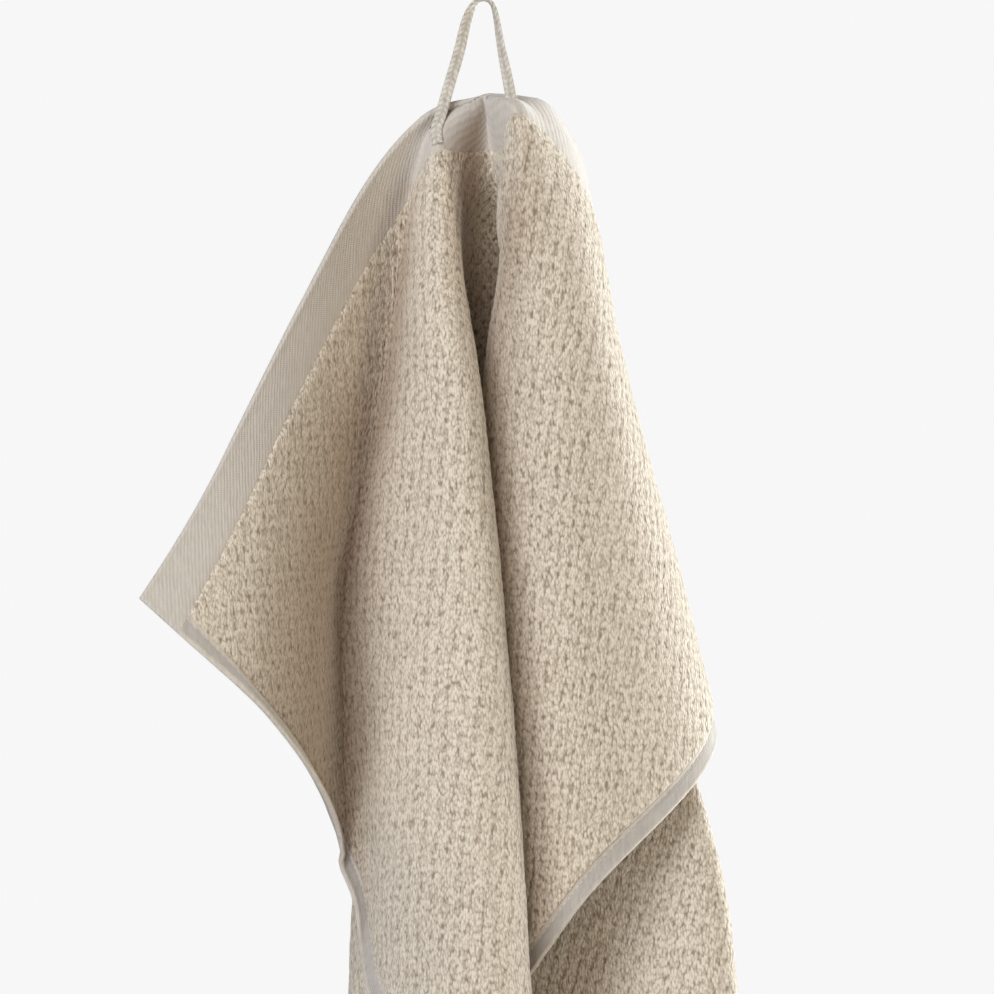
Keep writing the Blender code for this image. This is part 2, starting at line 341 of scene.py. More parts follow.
@dataclass
class Drape:
    """The hanging shape of the cloth's middle surface.

    Attributes:
        cut: the flat cut.
        middle: where the heading's middle hangs.
        angle_steps: samples of the half turn round the heading's middle.
        ring_step: distance between two sampled rings.
        reach: distance of the last sampled ring.
        steepest: least share of a thread's length that hangs straight down.
        ripple: height of the small uneven waves of hanging cloth.
        roll: width of the left edge that curls back.
        curl: radius of that curl.
    """

    cut: ClothCut
    middle: tuple[float, float, float] = (0.4, 10.0, -34.2)
    angle_steps: int = 720
    ring_step: float = 2.0
    reach: float = 760.0
    steepest: float = 0.02
    ripple: float = 0.5
    roll: float = 10.0
    curl: float = 9.5

    def __post_init__(self) -> None:
        """Work out the sampled field once."""
        self.field = self._field()

    def _field(self) -> np.ndarray:
        """Return the hung position of every (ring, angle) sample, from the heading's middle."""
        angles = np.linspace(0.0, 180.0, self.angle_steps + 1)
        radii = np.arange(0.0, self.reach + self.ring_step, self.ring_step)
        sections = [np.zeros((len(angles), 2))]
        for ring in range(len(RINGS)):
            crossings = np.array([row[ring + 1] for row in FOLDS if row[ring + 1]], float)
            sections.append(natural_spline(crossings[:, 0], crossings[:, 1:], angles))
        table = np.array(sections).reshape(len(RINGS) + 1, -1)
        flat = steady_curve((0.0,) + RINGS, table, radii).reshape(len(radii), len(angles), 2)
        slope = np.diff(flat, axis=0) / self.ring_step
        give = np.array(GIVE)
        stretch = 1.0 + natural_spline(give[:, 0], give[:, 1:], angles)[:, 0]
        fall = np.sqrt(np.clip(stretch ** 2 - (slope ** 2).sum(axis=2), self.steepest, None))
        height = np.zeros((len(radii), len(angles), 1))
        height[1:, :, 0] = -np.cumsum(fall, axis=0) * self.ring_step
        return np.concatenate([flat, height], axis=2)

    def place(self, across: np.ndarray, down: np.ndarray) -> np.ndarray:
        """Hang points of the cut, with the left edge curled back.

        Args:
            across: places across the cut, in millimetres.
            down: places down the cut, in millimetres.

        Returns:
            Where they hang, in millimetres from the loop's top.
        """
        flat = self._hang(across, down)
        past = self.roll - across
        if not (past > 0.0).any():
            return flat
        root = np.full_like(across, self.roll)
        base = self._hang(root, down)
        out = unit(base - self._hang(root + 2.0, down))
        fall = self._hang(root, down + 2.0) - base
        behind = unit(np.cross(out, fall))
        share = smooth_step(down, 14.0, 70.0)
        turn = np.maximum(share * past / self.curl, 1e-4)[..., None]
        rolled = base + past[..., None] * (out * np.sin(turn) + behind * (1.0 - np.cos(turn))) / turn
        return np.where(past[..., None] > 0.0, rolled, flat)

    def _hang(self, across: np.ndarray, down: np.ndarray) -> np.ndarray:
        """Hang points of the cut.

        Args:
            across: places across the cut, in millimetres.
            down: places down the cut, in millimetres.

        Returns:
            Where they hang, in millimetres from the loop's top.
        """
        offset = across - self.cut.width / 2
        ring = np.clip(np.hypot(offset, down) / self.ring_step, 0, self.field.shape[0] - 1.001)
        angle = np.degrees(np.arctan2(np.maximum(down, 0.0), -offset))
        turn = np.clip(angle / 180.0 * self.angle_steps, 0, self.angle_steps - 0.001)
        i = ring.astype(int)
        j = turn.astype(int)
        a = (ring - i)[..., None]
        b = (turn - j)[..., None]
        near = self.field[i, j] * (1 - b) + self.field[i, j + 1] * b
        far = self.field[i + 1, j] * (1 - b) + self.field[i + 1, j + 1] * b
        return near * (1 - a) + far * a + np.array(self.middle)

    def normal(self, across: np.ndarray, down: np.ndarray, span: float = 1.5) -> np.ndarray:
        """Return the direction in which the cloth's front face looks at points of the cut."""
        low, high = np.maximum(down - span, 0.0), down + span
        fall = self.place(across, high) - self.place(across, low)
        side = self.place(across + span, down) - self.place(across - span, down)
        return unit(np.cross(fall, side))

    def wave(self, across: np.ndarray, down: np.ndarray) -> np.ndarray:
        """Return the small uneven waves of the hanging cloth, in millimetres along its normal."""
        slow = SoftNoise(seed=11, grain=38.0).read(across, down)
        quick = SoftNoise(seed=12, grain=15.0).read(across, down)
        away = smooth_step(np.hypot(across - self.cut.width / 2, down), 30.0, 120.0)
        return self.ripple * away * (slow + 0.35 * quick)

    def skin(self, across: np.ndarray, down: np.ndarray, height: np.ndarray) -> np.ndarray:
        """Return points that stand height millimetres in front of the cloth's middle surface."""
        lift = (height + self.wave(across, down))[..., None]
        return self.place(across, down) + self.normal(across, down) * lift


class Mesher:
    """Turns point grids into mesh objects that ride on the part."""

    @staticmethod
    def add(name: str, points: np.ndarray, faces: np.ndarray, maps: Optional[dict[str, np.ndarray]] = None,
            normals: Optional[np.ndarray] = None) -> bpy.types.Object:
        """Add one smooth mesh object.

        Args:
            name: the piece's name.
            points: its points, in millimetres.
            faces: its four-cornered faces, as rows of point numbers.
            maps: UV maps by name, with one place per point.
            normals: the shading normal of each point.

        Returns:
            The new object.
        """
        mesh = bpy.data.meshes.new(name)
        corners = faces.astype(np.int32).ravel()
        mesh.vertices.add(len(points))
        mesh.vertices.foreach_set("co", (points * MM).astype(np.float32).ravel())
        mesh.loops.add(len(corners))
        mesh.loops.foreach_set("vertex_index", corners)
        mesh.polygons.add(len(faces))
        mesh.polygons.foreach_set("loop_start", np.arange(0, len(corners), 4, dtype=np.int32))
        mesh.update(calc_edges=True)
        mesh.polygons.foreach_set("use_smooth", np.ones(len(faces), bool))
        for title, places in (maps or {}).items():
            layer = mesh.uv_layers.new(name=title)
            layer.data.foreach_set("uv", places[corners].astype(np.float32).ravel())
        mesh.validate()
        if normals is not None:
            mesh.normals_split_custom_set_from_vertices(normals.tolist())
        shape = bpy.data.objects.new(name, mesh)
        bpy.context.scene.collection.objects.link(shape)
        return shape

    @staticmethod
    def grid_faces(rows: int, columns: int, start: int = 0) -> np.ndarray:
        """Return the faces of a point grid, wound so that they look to the cloth's front."""
        corner = (np.arange(rows - 1)[:, None] * columns + np.arange(columns - 1)[None]).ravel() + start
        return np.stack([corner, corner + columns, corner + columns + 1, corner + 1], axis=1)

    @staticmethod
    def point_values(shape: bpy.types.Object, name: str, values: np.ndarray) -> None:
        """Store one value per point as a named attribute that the material reads."""
        layer = shape.data.attributes.new(name, "FLOAT", "POINT")
        layer.data.foreach_set("value", values.astype(np.float32).ravel())


def math_method(operation: str, swapped: bool = False) -> Callable[..., "Tone"]:
    """Return a method of Tone that adds one Math node.

    Args:
        operation: what the node does.
        swapped: whether the tone itself comes last, as in a reflected operator.

    Returns:
        The method.
    """
    def method(tone: "Tone", *others: Union["Tone", float]) -> "Tone":
        """Return the node's outcome."""
        values = (tone, *others)
        return tone.board.maths(operation, *(values[::-1] if swapped else values))
    return method


class Tone:
    """A shader value; sums of tones become Math nodes."""

    def __init__(self, board: "Board", socket: bpy.types.NodeSocket) -> None:
        """Wrap a socket of the board."""
        self.board = board
        self.socket = socket

    __add__ = __radd__ = math_method("ADD")
    __sub__ = math_method("SUBTRACT")
    __rsub__ = math_method("SUBTRACT", swapped=True)
    __mul__ = __rmul__ = math_method("MULTIPLY")
    __truediv__ = math_method("DIVIDE")
    __pow__ = math_method("POWER")
    __abs__ = math_method("ABSOLUTE")

    def wave(self) -> "Tone":
        """Return a soft wave that is 1 at whole numbers and 0 half-way between them."""
        return self.board.maths("COSINE", self * math.tau) * 0.5 + 0.5

    def clamped(self) -> "Tone":
        """Return self kept from 0 to 1."""
        return self.board.maths("MINIMUM", self.board.maths("MAXIMUM", self, 0.0), 1.0)

    def step(self, low: float, high: float) -> "Tone":
        """Return a soft step from 0 at low to 1 at high."""
        made = self.board.node(
            "ShaderNodeMapRange", {"interpolation_type": "SMOOTHSTEP"}, {0: self, 1: low, 2: high})
        return Tone(self.board, made.outputs[0])


class Board:
    """The node board of one material."""

    def __init__(self, name: str) -> None:
        """Start a material with a plain cloth shader."""
        self.material = bpy.data.materials.new(name)
        self.material.use_nodes = True
        self.tree = self.material.node_tree
        self.shader = self.tree.nodes["Principled BSDF"]

    def node(self, kind: str, settings: Optional[dict] = None,
             values: Optional[dict] = None) -> bpy.types.Node:
        """Add a node.

        Args:
            kind: the node's type.
            settings: its settings by name.
            values: values or links of its input sockets, by name or number.

        Returns:
            The new node.
        """
        made = self.tree.nodes.new(kind)
        for name, value in (settings or {}).items():
            setattr(made, name, value)
        for name, value in (values or {}).items():
            self.feed(made.inputs[name], value)
        return made

    def feed(self, socket: bpy.types.NodeSocket, value: object) -> None:
        """Link or set one input socket."""
        if isinstance(value, Tone):
            self.tree.links.new(value.socket, socket)
        elif isinstance(value, bpy.types.NodeSocket):
            self.tree.links.new(value, socket)
        elif socket.type == "RGBA" and len(value) == 3:
            socket.default_value = (*value, 1.0)
        else:
            socket.default_value = value

    def tone(self, made: bpy.types.Node, output: Union[int, str] = 0) -> Tone:
        """Return one output of a node as a tone."""
        return Tone(self, made.outputs[output])

    def maths(self, operation: str, *values: Union[Tone, float]) -> Tone:
        """Return the outcome of a Math node on these values."""
        return self.tone(self.node("ShaderNodeMath", {"operation": operation}, dict(enumerate(values))))

    def object_place(self) -> bpy.types.NodeSocket:
        """Return the Object coordinates."""
        return self.node("ShaderNodeTexCoord").outputs["Object"]

    def map_place(self, name: str) -> tuple[Tone, Tone]:
        """Return the place in one of the mesh's own maps."""
        uv = self.node("ShaderNodeUVMap", {"uv_map": name})
        split = self.node("ShaderNodeSeparateXYZ", None, {0: uv.outputs[0]})
        return self.tone(split, "X"), self.tone(split, "Y")

    def value(self, name: str) -> Tone:
        """Return one of the mesh's own point values."""
        return self.tone(self.node("ShaderNodeAttribute", {"attribute_name": name}), "Fac")

    def painted_in_folds(self, colour: object) -> bpy.types.NodeSocket:
        """Return a colour with painted shade, darker and warmer, deep in the folds."""
        dim = self.mixed(self.value("hollow"), WHITE, FOLD_SHADE)
        return self.node("ShaderNodeVectorMath", {"operation": "MULTIPLY"}, {0: colour, 1: dim}).outputs[0]

    def scaled(self, place: bpy.types.NodeSocket, size: Colour) -> bpy.types.NodeSocket:
        """Return a place divided by the size of one repeat in metres."""
        values = {0: place, 1: tuple(1.0 / side for side in size)}
        return self.node("ShaderNodeVectorMath", {"operation": "MULTIPLY"}, values).outputs[0]

    def noise(self, scale: float, detail: float = 2.0) -> Tone:
        """Return even noise from 0 to 1, with this many bumps a metre."""
        values = {"Vector": self.object_place(), "Scale": scale, "Detail": detail}
        return self.tone(self.node("ShaderNodeTexNoise", None, values))

    def grains(self, size: Colour) -> Tone:
        """Return noise from 0 to 1 in grains of this size in metres."""
        values = {"Vector": self.scaled(self.object_place(), size), "Scale": 1.0, "Detail": 2.0}
        return self.tone(self.node("ShaderNodeTexNoise", None, values))

    def cells(self, size: Colour) -> tuple[Tone, Tone]:
        """Return the distance from the middle of a cell of this size and the cell's own random tone."""
        place = self.scaled(self.object_place(), size)
        made = self.node("ShaderNodeTexVoronoi", {"feature": "F1"},
                         {"Vector": place, "Scale": 1.0, "Randomness": 1.0})
        split = self.node("ShaderNodeSeparateColor", None, {0: made.outputs["Color"]})
        return self.tone(made, "Distance"), self.tone(split, 0)

    def mixed(self, share: Union[Tone, float], low: object, high: object) -> bpy.types.NodeSocket:
        """Return a colour from low at share 0 to high at share 1."""
        made = self.node("ShaderNodeMix", {"data_type": "RGBA"}, {0: share, 6: low, 7: high})
        return made.outputs[2]

    def shaded(self, colour: object, share: Tone) -> bpy.types.NodeSocket:
        """Return a colour whose brightness is multiplied by a tone."""
        made = self.node("ShaderNodeVectorMath", {"operation": "SCALE"}, {0: colour, "Scale": share})
        return made.outputs[0]

    def bump(self, height: Tone, depth: float) -> bpy.types.NodeSocket:
        """Return a normal that a relief of this depth in metres bends."""
        values = {"Height": height, "Distance": depth, "Strength": 1.0}
        return self.node("ShaderNodeBump", None, values).outputs[0]

    def finish(self, colour: object, roughness: Union[Tone, float], normal: bpy.types.NodeSocket,
               sheen: float, tint: Colour) -> bpy.types.Material:
        """Set the cloth shader's sockets and return the material.

        Args:
            colour: base colour.
            roughness: roughness.
            normal: bent normal.
            sheen: weight of the soft sheen of cotton fibre.
            tint: colour of that sheen.

        Returns:
            The finished material.
        """
        sockets = {"Base Color": colour, "Roughness": roughness, "Normal": normal, "Specular IOR Level": 0.15,
                   "Sheen Weight": sheen, "Sheen Roughness": 0.45, "Sheen Tint": tint}
        for name, value in sockets.items():
            self.feed(self.shader.inputs[name], value)
        return self.material


@dataclass(frozen=True)
class TerryFinish:
    """Looped cotton pile: small upright loops in broken columns, with painted shade, warmer and darker,
    between the loops.

    Attributes:
        tip: colour of the loops' tops.
        gap: painted shade colour deep between them.
        loop: width, depth and height of one loop in metres.
        relief: height of the loops in metres.
    """

    tip: Colour = (0.83, 0.745, 0.63)
    gap: Colour = (0.35, 0.275, 0.205)
    loop: Colour = (0.00078, 0.00078, 0.0018)
    relief: float = 0.00036

    def make(self) -> bpy.types.Material:
        """Return the material."""
        board = Board("terry_pile")
        away, own = board.cells(self.loop)
        fibre = board.grains((0.0004, 0.0004, 0.0008))
        # each loop lighter at its middle and darker at its rim: painted shade of its round form, with a
        # random tone of its own
        loops = (1.0 - away * away) * (own * 0.6 + 0.7) + (fibre - 0.5) * 0.5
        first, second = board.map_place("grain")
        upright = board.value("upright")
        lines, rows = 1.0 - first.wave(), 1.0 - second.wave()
        columns = lines * upright + rows * (1.0 - upright)
        steps = rows * upright + lines * (1.0 - upright)
        pits = columns ** 2.2 * steps ** 0.8
        worn = board.grains((0.0025, 0.0025, 0.0035)).step(0.3, 0.7)
        # pits: painted shade where the loops part, its depth varying at random; it also shapes the bump
        deep = pits * (worn * 0.65 + 0.25) + columns ** 2.0 * worn * 0.25
        slow = board.noise(scale=14.0, detail=3.0)
        # painted shade: the colour goes from tip towards gap in the pits and at the loops' rims
        level = (loops * 1.1 - deep * 0.5 - 0.05).clamped()
        # painted shade of the folds' hollows darkens the pile's colour
        colour = board.painted_in_folds(board.mixed(level, self.gap, self.tip))
        shade = 0.96 + (slow - 0.5) * 0.10
        normal = board.bump(loops - deep * 1.1, self.relief)
        return board.finish(board.shaded(colour, shade), 0.92, normal, 0.45, (1.0, 0.95, 0.88))


@dataclass(frozen=True)
class TwillFinish:
    """Flat twill of the heading and foot bands, its lines broken as slub yarn breaks them.

    Attributes:
        light: colour of the raised lines.
        dark: colour between the lines.
        pitch: distance between two lines in metres.
        lean: how far across and down a step at right angles to the lines goes.
        middle: where the lines change direction, across the cut in metres.
    """

    light: Colour = (0.67, 0.625, 0.575)
    dark: Colour = (0.50, 0.455, 0.41)
    pitch: float = 0.00175
    lean: tuple[float, float] = (0.64, 0.77)
    middle: float = 0.25

    def make(self) -> bpy.types.Material:
        """Return the material."""
        board = Board("band_twill")
        across, down = board.map_place("cut")
        side = abs(across - self.middle)
        wander = board.grains((0.0035, 0.0035, 0.009))
        lines = ((down * self.lean[1] - side * self.lean[0]) / self.pitch + (wander - 0.5) * 0.9).wave()
        threads = (down * self.lean[0] + side * self.lean[1]) / 0.0007
        floats = board.grains((0.0011, 0.0011, 0.0048))
        fibre = board.noise(FIBRES_A_METRE)
        level = (lines * 0.30 + (floats - 0.5) + (fibre - 0.5) * 0.3 + 0.38).clamped()
        # painted shade of the folds' hollows darkens the band's colour
        colour = board.painted_in_folds(board.mixed(level, self.dark, self.light))
        relief = lines * 0.6 + threads.wave() * 0.25 + floats * 0.8
        return board.finish(colour, 0.85, board.bump(relief, 0.00014), 0.35, (1.0, 0.97, 0.94))


@dataclass(frozen=True)
class HemFinish:
    """Fine close weave of the side hems, with a painted highlight along the edge's fold and along the sewn
    line.

    Attributes:
        cloth: colour of the weave.
        fold: colour of the painted highlight on the edge's fold and on the sewn line.
        width: width of the cut in metres.
        hem: width of the hem in metres.
    """

    cloth: Colour = (0.50, 0.465, 0.43)
    fold: Colour = (0.72, 0.65, 0.57)
    width: float = 0.5
    hem: float = 0.008

    def make(self) -> bpy.types.Material:
        """Return the material."""
        board = Board("hem_weave")
        across, down = board.map_place("cut")
        gap = self.width / 2 - abs(across - self.width / 2)
        ribs = (gap / 0.00085).wave()
        picks = (down / 0.0006).wave()
        slub = board.grains((0.0012, 0.0012, 0.0050))
        fibre = board.noise(FIBRES_A_METRE)
        # painted highlight along the edge's fold and along the sewn line
        edge = 1.0 - gap.step(0.0007, 0.0019)
        sewn = gap.step(self.hem - 0.0018, self.hem - 0.0010)
        pale = (edge + sewn).clamped() * 0.6
        weave = ribs * 0.12 + (slub - 0.5) * 0.5 + (fibre - 0.5) * 0.25 + 0.94
        colour = board.shaded(board.mixed(pale, self.cloth, self.fold), weave)
        relief = ribs * 0.6 + picks * 0.35 + slub * 0.6
        return board.finish(colour, 0.85, board.bump(relief, 0.00016), 0.22, (0.95, 0.92, 0.90))


@dataclass(frozen=True)
class TapeFinish:
    """Narrow woven tape, mottled light and dark along its chevrons."""

    light: Colour = (0.70, 0.655, 0.59)
    dark: Colour = (0.36, 0.325, 0.28)

    def make(self) -> bpy.types.Material:
        """Return the material."""
        board = Board("loop_tape")
        height = board.value("weave_height")
        patch = board.grains((0.0011, 0.0011, 0.0032))
        fibre = board.grains((0.0004, 0.0004, 0.0011))
        level = (height * 0.55 + (patch - 0.5) * 1.5 + (fibre - 0.5) * 0.4 + 0.35).clamped()
        colour = board.mixed(level, self.dark, self.light)
        normal = board.bump(patch * 0.6 + fibre * 0.5, 0.00025)
        return board.finish(colour, 0.85, normal, 0.20, (0.95, 0.92, 0.90))


@dataclass(frozen=True)
class ThreadFinish:
    """Twisted cotton sewing thread."""

    colour: Colour = (0.70, 0.65, 0.59)

    def make(self) -> bpy.types.Material:
        """Return the material."""
        board = Board("sewing_thread")
        ply = board.grains((0.0003, 0.0003, 0.0003))
        colour = board.shaded(self.colour, 0.85 + ply * 0.25)
        return board.finish(colour, 0.7, board.bump(ply, 0.00008), 0.1, WHITE)


@dataclass(frozen=True)
class FloorFinish:
    """Pale matt studio floor that fades out at its rim."""

    colour: Colour = (0.84, 0.84, 0.84)
    full: float = 0.9
    gone: float = 2.3

    def make(self) -> bpy.types.Material:
        """Return the material."""
        board = Board("studio_floor")
        split = board.node("ShaderNodeSeparateXYZ", None, {0: board.object_place()})
        right, back = board.tone(split, "X"), board.tone(split, "Y")
        far = (right * right + back * back) ** 0.5
        grain = board.noise(scale=60.0, detail=3.0)
        colour = board.shaded(self.colour, 0.985 + grain * 0.03)
        board.feed(board.shader.inputs["Alpha"], 1.0 - far.step(self.full, self.gone))
        return board.finish(colour, 0.9, board.bump(grain, 0.0005), 0.0, WHITE)


@dataclass
class PileGrain:
    """The staggered grains in which the loops of the pile stand over the cut.

    Attributes:
        cut: the flat cut.
        pitch: distance between two grains in one row, in millimetres.
        pit: depth of the pit between four grains.
        edge: width over which the pile rises beside a band or hem.
        crest: how far the grains stand over the cloth's half thickness.
        rough: unevenness of the loops in one grain.
    """

    cut: ClothCut
    pitch: float = 6.4
    pit: float = 0.23
    edge: float = 1.6
    crest: float = 0.1
    rough: float = 0.10

    def count(self, across: np.ndarray, down: np.ndarray) -> np.ndarray:
        """Count the grains along both of their diagonals.

        Args:
            across: places across the cut, in millimetres.
            down: places down the cut, in millimetres.

        Returns:
            Both counts; grains stand at whole numbers and pits half-way between them.
        """
        u = across + 0.6 * SoftNoise(21, 6.0).read(across, down)
        u = u + 0.7 * SoftNoise(22, 17.0).read(across, down)
        v = down + 0.6 * SoftNoise(23, 6.0).read(across, down) + 0.7 * SoftNoise(24, 17.0).read(across, down)
        return np.stack([u + v, u - v], axis=-1) / self.pitch

    def upright(self, across: np.ndarray, down: np.ndarray) -> np.ndarray:
        """Return how upright the first diagonal's grain columns hang, from 0 for level to 1."""
        offset = across - self.cut.width / 2
        return 0.5 - offset * down / np.maximum(offset ** 2 + down ** 2, 1.0)

    def height(self, across: np.ndarray, down: np.ndarray, count: np.ndarray) -> np.ndarray:
        """Return the pile's height above the cloth's middle surface, in millimetres."""
        cell = np.floor(count).astype(int) % 256
        own = np.random.default_rng(25).uniform(0.3, 1.3, (256, 256))[cell[..., 0], cell[..., 1]]
        pits = np.prod(np.sin(np.pi * count) ** 2, axis=-1) * own
        loops = SoftNoise(26, 1.7).read(across, down) + SoftNoise(27, 4.0).read(across, down)
        body = self.cut.pile_half + self.crest - self.pit * pits + self.rough * loops
        beside, below = self.cut.side_gap(across), self.cut.end_gap(across, down)
        gap = np.minimum(beside - self.cut.hem, below - self.cut.band)
        rise = np.sqrt(np.clip(1.0 - (1.0 - np.clip(gap / self.edge, 0.0, 1.0)) ** 2, 0.0, 1.0))
        low = self.cut.ground_half - 0.25
        return low + (body - low) * rise


@dataclass
class Towel:
    """The towel: a woven ground over the whole cut, pile on both faces, and the stitches of its side hems.

    Attributes:
        cut: the flat cut.
        drape: its hanging shape.
        front_step: spacing of the front pile's points, in millimetres.
        back_step: spacing of the back pile's points.
        stitch: length of one stitch.
        stitch_gap: distance from one stitch's start to the next one's.
        thread: thickness of the thread.
    """

    cut: ClothCut
    drape: Drape
    front_step: float = 1.3
    back_step: float = 1.75
    stitch: float = 2.3
    stitch_gap: float = 3.2
    thread: float = 0.42

    def _columns(self) -> np.ndarray:
        """Return the ground's grid lines across the cut."""
        half = self.cut.width / 2
        reach = half - self.cut.hem
        place = [0.0]
        while place[-1] < reach:
            place.append(place[-1] + (1.4 if place[-1] < 60 else min(4.0, 1.4 + 0.03 * (place[-1] - 60))))
        inner = np.array(place) * reach / place[-1]
        edge = half - np.array(HEM_LINES)[::-1][1:]
        right = np.concatenate([inner, edge])
        return half + np.concatenate([-right[::-1], right[1:]])

    def _rows(self) -> np.ndarray:
        """Return the ground's grid lines down the cut."""
        band = np.array(BAND_LINES)
        inner = [self.cut.band]
        last = self.cut.length - self.cut.band
        while inner[-1] < last:
            inner.append(inner[-1] + min(4.6, 1.6 + 0.03 * (inner[-1] - self.cut.band)))
        past = np.array(inner) - self.cut.band
        scaled = self.cut.band + past * (last - self.cut.band) / past[-1]
        return np.concatenate([band, scaled[1:-1], self.cut.length - band[::-1]])

    def _ground_half(self, across: np.ndarray, down: np.ndarray) -> np.ndarray:
        """Return the ground's half thickness: rounded edges, folded hems, a dent under each sewn line."""
        side, end = self.cut.side_gap(across), self.cut.end_gap(across, down)
        near = np.minimum(side, end)
        flat = self.cut.flat_half
        rounded = np.sqrt(np.clip(1.0 - (1.0 - np.clip(near / 0.9, 0.0, 1.0)) ** 2, 0.02, 1.0))
        fold = 0.18 * np.exp(-((near - 1.2) / 0.7) ** 2)
        beside = smooth_step(end, self.cut.band - 1.0, self.cut.band + 1.0)
        dent = 0.28 * np.exp(-((self.cut.hem - 1.5 - side) / 0.55) ** 2) * beside
        lip = 0.15 * np.exp(-((self.cut.hem - 0.5 - side) / 0.5) ** 2) * beside
        inside = smooth_step(np.minimum(side - self.cut.hem, end - self.cut.band), -0.3, 0.8)
        worn = 0.10 * SoftNoise(31, 5.0).read(across, down) * smooth_step(near, 0.0, 2.0)
        body = flat * rounded + fold - dent + lip + worn
        return body * (1 - inside) + self.cut.ground_half * inside

    def hollow(self, across: np.ndarray, down: np.ndarray) -> np.ndarray:
        """Work out how much painted shade darkens the colour deep in the folds.

        Args:
            across: places across the cut.
            down: places down the cut.

        Returns:
            Shares from 0 for none to 1.
        """
        right = across - self.cut.width / 2
        angle = np.degrees(np.arctan2(down, -right))
        ring = np.hypot(right, down)
        painted_shade_share = np.zeros(across.shape)
        for _, way, spread, first, last, share in PAINTED_SHADE_ZONES:
            near = np.exp(-((angle - way) / spread) ** 2 * 1.2)
            along = smooth_step(ring, first - 25.0, first + 25.0)
            along = along * (1.0 - smooth_step(ring, last - 70.0, last + 70.0))
            painted_shade_share = np.maximum(painted_shade_share, share * near * along)
        return painted_shade_share

    def build_ground(self) -> bpy.types.Object:
        """Build the closed thin ground over the whole cut."""
        columns, rows = self._columns(), self._rows()
        across, down = np.meshgrid(columns, rows)
        half = self._ground_half(across, down)
        front = self.drape.skin(across, down, half).reshape(-1, 3)
        back = self.drape.skin(across, down, -half).reshape(-1, 3)
        count = across.size
        faces_front = Mesher.grid_faces(len(rows), len(columns))
        faces_back = Mesher.grid_faces(len(rows), len(columns), count)[:, ::-1]
        number = np.arange(count).reshape(across.shape)
        ring = np.concatenate([number[0, :-1], number[:-1, -1], number[-1, :0:-1], number[:0:-1, 0]])
        after = np.roll(ring, -1)
        rim = np.stack([ring, after, after + count, ring + count], axis=1)
        flat = np.stack([across, down], axis=-1).reshape(-1, 2)
        ground = Mesher.add("towel_ground", np.concatenate([front, back]),
                            np.concatenate([faces_front, faces_back, rim]),
                            {"cut": np.concatenate([flat, flat]) * MM})
        # painted shade of the folds' hollows, on the front face only
        painted_shade_share = self.hollow(across, down).ravel()
        Mesher.point_values(ground, "hollow", np.concatenate([painted_shade_share, np.zeros_like(painted_shade_share)]))
        self._dress_ground(ground, flat)
        return ground

    def _dress_ground(self, ground: bpy.types.Object, flat: np.ndarray) -> None:
        """Give the bands their twill and the side hems their own weave."""
        ground.data.materials.append(TwillFinish().make())
        ground.data.materials.append(HemFinish().make())
        count = len(ground.data.polygons)
        corner = np.zeros(count * 4, np.int32)
        ground.data.polygons.foreach_get("vertices", corner)
        places = flat[corner.reshape(-1, 4) % len(flat)].mean(axis=1)
        in_hem = (self.cut.side_gap(places[:, 0]) < self.cut.hem) & (
            self.cut.end_gap(places[:, 0], places[:, 1]) > self.cut.band)
        ground.data.polygons.foreach_set("material_index", in_hem.astype(np.int32))

    def build_pile(self, face: Face) -> list[bpy.types.Object]:
        """Build the pile of one face, in a left and a right half that meet in the middle.

        Args:
            face: the side that carries it.

        Returns:
            The two halves.
        """
        step = self.front_step if face is Face.FRONT else self.back_step
        start = np.array(RISE_LINES)
        rise = start[-1]
        across_reach = self.cut.width - 2 * self.cut.hem - 2 * rise
        top = self.cut.band - self.cut.slant
        down_reach = self.cut.length - self.cut.band - top - 2 * rise
        wide, long = 2 * round(across_reach / step / 2), round(down_reach / step)
        inner_u = self.cut.hem + rise + across_reach * np.linspace(0, 1, wide + 1)
        inner_v = top + rise + down_reach * np.linspace(0, 1, long + 1)
        right = self.cut.width - self.cut.hem
        columns = np.concatenate([self.cut.hem + start[:-1], inner_u, right - start[-2::-1]])
        rows = np.concatenate([top + start[:-1], inner_v, self.cut.length - self.cut.band - start[-2::-1]])
        across, down = np.meshgrid(columns, rows)
        grain = PileGrain(self.cut)
        count = grain.count(across, down)
        points = self.drape.skin(across, down, grain.height(across, down, count) * face.value)
        normals = unit(np.cross(np.gradient(points, axis=0), np.gradient(points, axis=1))) * face.value
        upright = grain.upright(across, down)
        # painted shade of the folds' hollows, on the front pile only
        painted_shade_share = self.hollow(across, down) * (1.0 if face is Face.FRONT else 0.0)
        finish = TerryFinish().make()
        middle = len(columns) // 2
        halves = []
        for side, part in (("left", slice(0, middle + 1)), ("right", slice(middle, len(columns)))):
            block = points[:, part].reshape(-1, 3)
            faces = Mesher.grid_faces(len(rows), across[:, part].shape[1])
            pile = Mesher.add(f"pile_{face.name.lower()}_{side}", block, faces[:, ::face.value],
                              {"grain": count[:, part].reshape(-1, 2)}, normals[:, part].reshape(-1, 3))
            Mesher.point_values(pile, "upright", upright[:, part].ravel())
            Mesher.point_values(pile, "hollow", painted_shade_share[:, part].ravel())
            pile.data.materials.append(finish)
            halves.append(pile)
        return halves

    def _seams(self) -> list[tuple[np.ndarray, np.ndarray]]:
        """Return the start of every stitch in the cut, with its direction, for both side hems."""
        inset = self.cut.hem - 1.5
        run = np.arange(self.cut.band + 1.0, self.cut.length - self.cut.band - 3.0, self.stitch_gap)
        return [(np.stack([np.full(len(run), across), run], axis=1), np.array([0.0, 1.0]))
                for across in (inset, self.cut.width - inset)]

